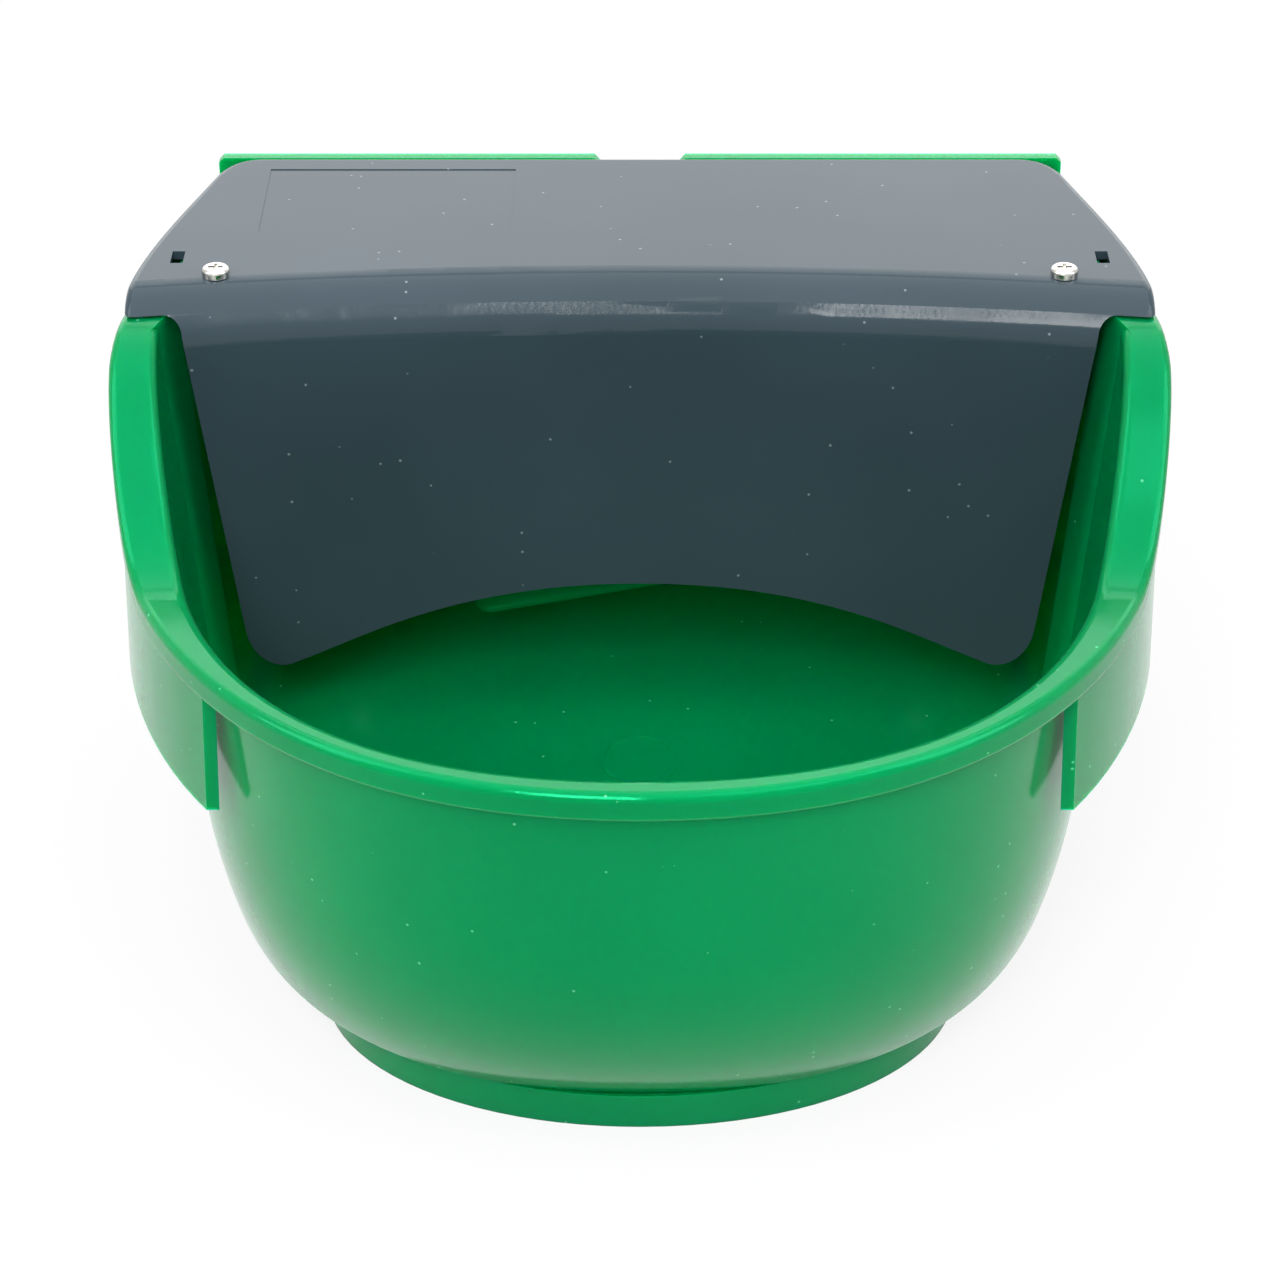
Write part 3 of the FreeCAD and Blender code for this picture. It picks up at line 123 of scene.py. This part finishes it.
def moulded(name, deep, pale, rough, dust, tint=(1, 1, 1, 1), ior=1.5, soft=0.0):
    """Glossy injection-moulded plastic: flow shades, orange peel, dust and handling marks."""
    t = Tree(name, IOR=ior, Specular_Tint=tint, Subsurface_Weight=soft,
             Subsurface_Scale=LIGHT_DEPTH, Subsurface_Radius=LIGHT_REACH)
    flow = t.noise(FLOW_SCALE, 3.0, 0.5)
    colour = t.mix(t.ramp(flow, 0.35, 0.65, 0, 1), deep, pale)
    spots = t.specks(DUST_SCALE, DUST_SIZE, DUST_SHARE)
    colour = t.mix(t.maths("MULTIPLY", spots, DUST_COVER), colour, dust)
    scuff = t.ramp(t.noise(SCUFF_SCALE, 6.0, 0.7, (1, 1, 0.2)), 0.55, 0.8, 0.0, 0.10)
    base = t.ramp(t.noise(PATCH_SCALE, 3.0), 0.3, 0.7, rough * 0.85, rough * 1.15)
    peel = t.bump(t.noise(PEEL_SCALE, 2.0), 0.06, 0.0002)
    wave = t.bump(t.noise(WAVE_SCALE, 1.0), 0.12, 0.0006, peel)
    return t.set(Base_Color=colour, Roughness=t.maths("ADD", base, scuff), Normal=wave)


def metal(name, colour, worn, rough, grain=(1, 1, 1)):
    """Machined or drawn metal: fine lines along the grain and cloudy tarnish."""
    t = Tree(name, Metallic=1.0)
    cloud = t.ramp(t.noise(180.0, 4.0, 0.6), 0.35, 0.65, 0, 1)
    lines = t.noise(900.0, 2.0, 0.5, grain)
    shine = t.ramp(lines, 0.3, 0.7, rough * 0.7, rough * 1.4)
    return t.set(Base_Color=t.mix(cloud, colour, worn), Roughness=shine,
                 Normal=t.bump(lines, 0.08, 0.0001))


def dull(name, colour, pale, rough, scale):
    """Rubber and unpolished plastic: an even grain in colour, roughness and bump."""
    t = Tree(name)
    grain = t.noise(scale, 5.0, 0.6)
    return t.set(Base_Color=t.mix(t.ramp(grain, 0.35, 0.65, 0, 1), colour, pale),
                 Roughness=t.ramp(grain, 0.3, 0.7, rough * 0.9, rough * 1.1),
                 Normal=t.bump(grain, 0.15, 0.0002))


green = moulded("green_moulded", srgb(0, 118, 64), srgb(0, 126, 69), 0.14, srgb(105, 190, 145),
                tint=(0.05, 1.0, 0.5, 1), ior=1.55, soft=0.85)
grey = moulded("grey_moulded", srgb(46, 60, 68), srgb(51, 65, 74), 0.1, srgb(130, 140, 145),
               tint=(0.45, 0.45, 0.45, 1))
steel = metal("bright_stainless", srgb(214, 212, 206), srgb(188, 186, 180), 0.18)
brass = metal("machined_brass", srgb(204, 164, 88), srgb(176, 138, 70), 0.24, (0.2, 1, 1))
rubber = dull("black_rubber", srgb(26, 26, 26), srgb(40, 40, 40), 0.7, 500.0)
white = dull("natural_plastic", srgb(224, 222, 210), srgb(236, 234, 226), 0.38, 300.0)
black = dull("black_plastic", srgb(28, 29, 31), srgb(40, 41, 43), 0.42, 400.0)
finishes = {"green_plastic": green, "grey_plastic": grey, "stainless": steel, "brass": brass,
            "rubber": rubber, "white_plastic": white, "black_plastic": black}

for part in frame["record"]["subparts"]:
    mesh = nodes[part["node"]].data
    mesh.materials.clear()
    mesh.materials.append(finishes[part["material_slot"]])


# ---- floor, light and camera -------------------------------------------------------
FLOOR_SIZE = 6.0
PAPER = (0.6, 0.6, 0.6, 1)    # the floor's own colour under the lamps
PAPER_WHITE = 0.85            # how much of the floor is plain white to the camera
WHITE = (1, 1, 1, 1)
ROOM_FRONT, ROOM_REAR = 0.07, 0.75    # strength of the room's light, by direction
ROOM_FADE = (-0.9, 0.1)               # the directions' Y between which it changes

CAMERA_RISE = radians(31.0)           # above the horizon
CAMERA_DISTANCE = 1.1
CAMERA_TARGET = Vector((0, 0.0035, 0.085))    # the middle of the bowl
SENSOR, LENS = 36.0, 106.1

KEY_X = -0.268    # the key's right edge ends where the bend's highlight starts

# name, place, target, width, height, watts
SOFTBOXES = [
    ("top", (0, 0.0, 1.35), (0, 0.0, 0.1), 1.6, 1.7, 11.5),
    ("left", (-1.0, -0.3, 0.9), (0, 0, 0.1), 0.6, 1.0, 7),
    ("right", (1.0, -0.3, 0.9), (0, 0, 0.1), 0.6, 1.0, 7),
    ("back", (0, 1.35, 0.85), (0, 0, 0.15), 2.4, 1.2, 10),
    ("key", (KEY_X, -1.24, 1.1), (KEY_X, 0.04, 0.16), 0.5, 0.85, 20),
    ("fill", (0.5, -0.9, 1.3), (0, 0, 0.1), 0.7, 0.7, 3),
]


def sees_white(tree):
    """1 for camera, glossy and transmission rays, which see the white background."""
    path = tree.nodes.new("ShaderNodeLightPath")
    total = path.outputs["Is Camera Ray"]
    for ray in ("Is Glossy Ray", "Is Transmission Ray"):
        either = tree.nodes.new("ShaderNodeMath")
        either.operation = "MAXIMUM"
        tree.links.new(total, either.inputs[0])
        tree.links.new(path.outputs[ray], either.inputs[1])
        total = either.outputs[0]
    return total


def whitened(tree, surface, share):
    """The surface mixed with this share of plain white, for the rays that see white."""
    seen = sees_white(tree)
    glow = tree.nodes.new("ShaderNodeEmission")
    glow.inputs["Strength"].default_value = 1.0
    part = tree.nodes.new("ShaderNodeMath")
    part.operation = "MULTIPLY"
    part.inputs[1].default_value = share
    tree.links.new(seen, part.inputs[0])
    blend = tree.nodes.new("ShaderNodeMixShader")
    tree.links.new(part.outputs[0], blend.inputs[0])
    tree.links.new(surface, blend.inputs[1])
    tree.links.new(glow.outputs[0], blend.inputs[2])
    return blend.outputs[0]


def add_floor():
    """Pale paper at the height of the foot, which keeps the object's shadow."""
    bpy.ops.mesh.primitive_plane_add(size=FLOOR_SIZE, location=(0, 0, 0))
    floor = bpy.context.object
    floor.name = "floor"
    paper = bpy.data.materials.new("white_paper")
    paper.use_nodes = True
    tree = paper.node_tree
    shader = tree.nodes["Principled BSDF"]
    shader.inputs["Base Color"].default_value = PAPER
    shader.inputs["Roughness"].default_value = 0.9
    mixed = whitened(tree, shader.outputs[0], PAPER_WHITE)
    tree.links.new(mixed, tree.nodes["Material Output"].inputs["Surface"])
    floor.data.materials.append(paper)


def add_world():
    """White where it is seen or mirrored; as light, a soft room that is darker in front."""
    world = bpy.data.worlds.new("studio")
    bpy.context.scene.world = world
    world.use_nodes = True
    tree = world.node_tree
    tree.nodes.clear()
    out = tree.nodes.new("ShaderNodeOutputWorld")
    place = tree.nodes.new("ShaderNodeTexCoord")
    split = tree.nodes.new("ShaderNodeSeparateXYZ")
    tree.links.new(place.outputs["Generated"], split.inputs[0])
    fade = tree.nodes.new("ShaderNodeMapRange")
    tree.links.new(split.outputs["Y"], fade.inputs["Value"])
    fade.inputs["From Min"].default_value, fade.inputs["From Max"].default_value = ROOM_FADE
    fade.inputs["To Min"].default_value = ROOM_FRONT
    fade.inputs["To Max"].default_value = ROOM_REAR
    room = tree.nodes.new("ShaderNodeBackground")
    tree.links.new(fade.outputs[0], room.inputs["Strength"])
    seen = tree.nodes.new("ShaderNodeBackground")
    mix = tree.nodes.new("ShaderNodeMixShader")
    tree.links.new(sees_white(tree), mix.inputs[0])
    tree.links.new(room.outputs[0], mix.inputs[1])
    tree.links.new(seen.outputs[0], mix.inputs[2])
    room.inputs["Color"].default_value = WHITE
    seen.inputs["Color"].default_value = WHITE
    seen.inputs["Strength"].default_value = 1.0
    tree.links.new(mix.outputs[0], out.inputs["Surface"])


def add_softbox(name, place, target, width, height, watts):
    light = bpy.data.lights.new(name, "AREA")
    light.shape = "RECTANGLE"
    light.size = width
    light.size_y = height
    light.energy = watts
    lamp = bpy.data.objects.new(name, light)
    lamp.location = place
    lamp.rotation_euler = (Vector(target) - Vector(place)).to_track_quat("-Z", "Y").to_euler()
    bpy.context.collection.objects.link(lamp)


def add_camera():
    """Looks at the bowl from the front and from above, as the photograph does."""
    camera = bpy.data.cameras.new("camera")
    camera.sensor_width = SENSOR
    camera.lens = LENS
    holder = bpy.data.objects.new("camera", camera)
    away = Vector((0, -cos(CAMERA_RISE), sin(CAMERA_RISE)))
    holder.location = CAMERA_TARGET + away * CAMERA_DISTANCE
    holder.rotation_euler = (radians(90.0) - CAMERA_RISE, 0, 0)
    bpy.context.collection.objects.link(holder)
    bpy.context.scene.camera = holder


add_floor()
add_world()
for box in SOFTBOXES:
    add_softbox(*box)
add_camera()
bpy.context.scene.view_settings.view_transform = "Standard"
